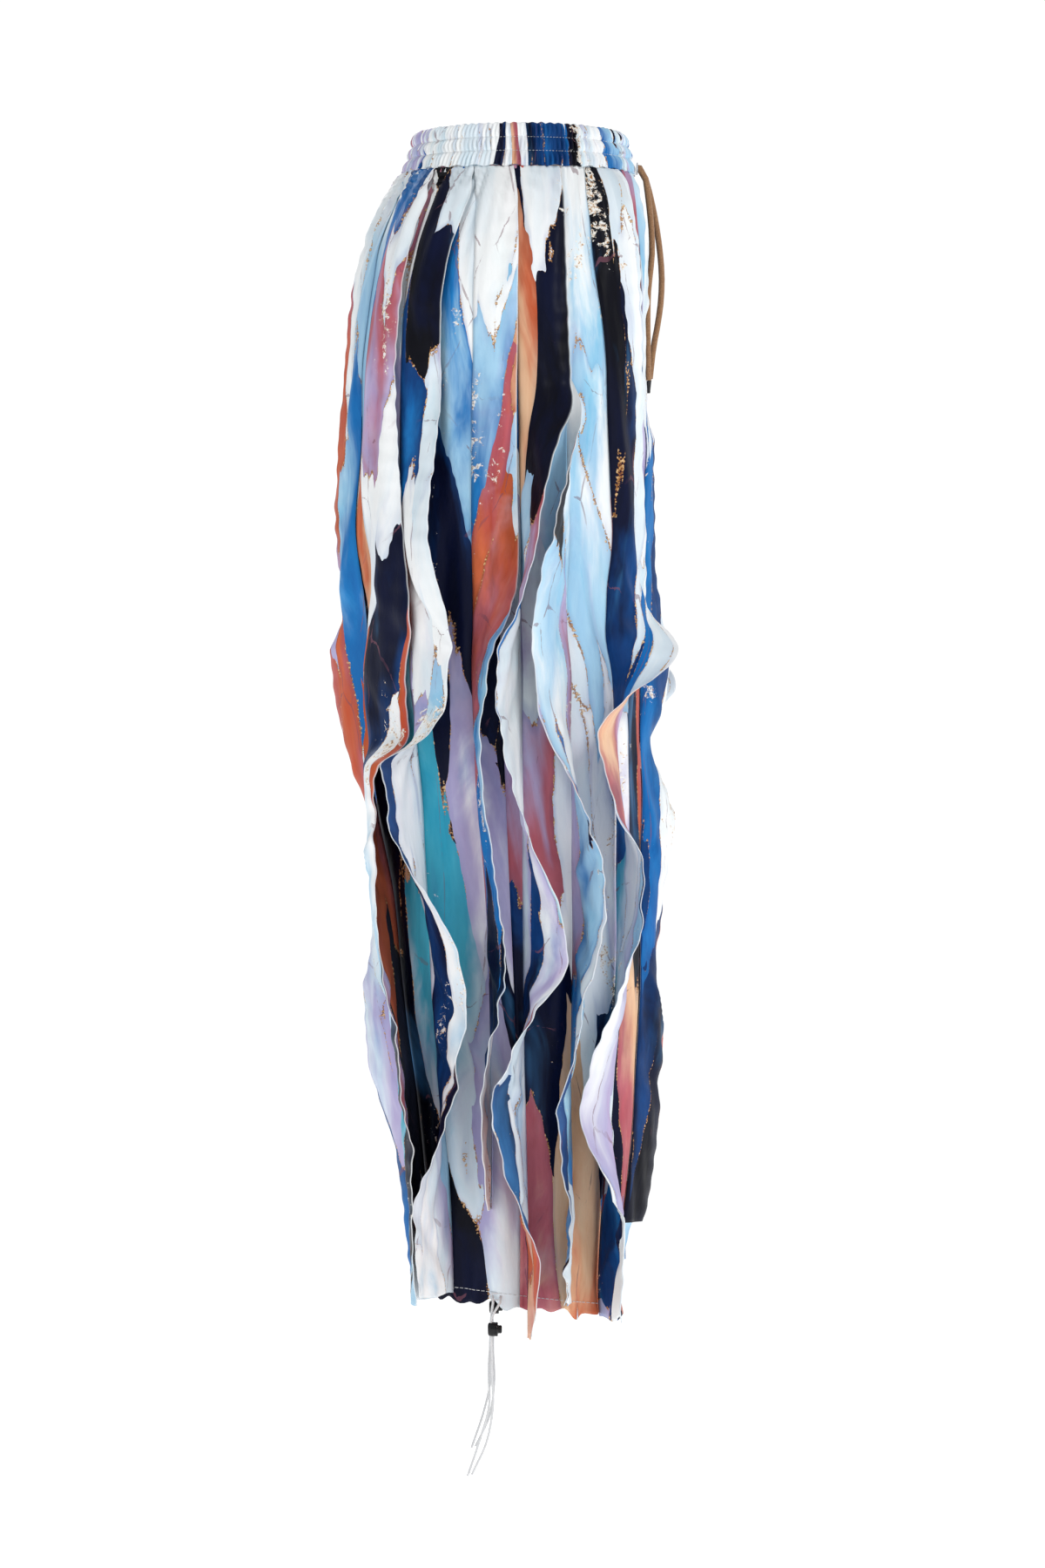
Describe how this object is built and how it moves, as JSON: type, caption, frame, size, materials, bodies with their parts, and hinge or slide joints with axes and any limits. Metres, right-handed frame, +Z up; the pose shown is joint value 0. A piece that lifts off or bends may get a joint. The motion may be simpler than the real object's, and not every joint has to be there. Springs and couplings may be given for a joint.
{
  "type": "harem pants",
  "caption": "Loose full-length pants with a shirred elastic waistband, a drawstring, long waving sewn-on strips down each leg and corded hems.",
  "frame": {"origin": "middle of the waist opening at the top edge of the waistband", "axes": "+Z up along the body, -Y the way the wearer faces, so -X is the wearer's right"},
  "size_m": [0.514, 0.3014, 1.1626],
  "materials": {
    "print": "smooth printed cloth with a soft sheen",
    "print_strip": "smooth printed cloth, pale rolled edges",
    "print_band": "gathered printed cloth over elastic",
    "drawstring": "matt braided cord",
    "tip_black": "smooth black sleeve",
    "hem_cord": "smooth white cord",
    "lock_black": "glossy moulded black",
    "thread": "close overcast thread"
  },
  "bodies": {
    "root": {"leg_front_R": "print", "leg_back_R": "print", "leg_front_L": "print", "leg_back_L": "print", "strip_01_R": "print_strip", "strip_01_L": "print_strip", "strip_02_R": "print_strip", "strip_02_L": "print_strip", "strip_03_R": "print_strip", "strip_03_L": "print_strip", "strip_04_R": "print_strip", "strip_04_L": "print_strip", "strip_05_R": "print_strip", "strip_05_L": "print_strip", "strip_06_R": "print_strip", "strip_06_L": "print_strip", "strip_07_R": "print_strip", "strip_07_L": "print_strip", "strip_08_R": "print_strip", "strip_08_L": "print_strip", "strip_09_R": "print_strip", "strip_09_L": "print_strip", "strip_10_R": "print_strip", "strip_10_L": "print_strip", "waistband": "print_band", "drawstring_R": "drawstring", "drawstring_tip_R": "tip_black", "eyelet_R": "thread", "hem_cord_1_R": "hem_cord", "hem_cord_2_R": "hem_cord", "hem_slit_R": "thread", "lock_body_R": "lock_black", "lock_button_R": "lock_black", "drawstring_L": "drawstring", "drawstring_tip_L": "tip_black", "eyelet_L": "thread", "hem_cord_1_L": "hem_cord", "hem_cord_2_L": "hem_cord", "hem_slit_L": "thread", "lock_body_L": "lock_black", "lock_button_L": "lock_black"}
  },
  "joints": []
}
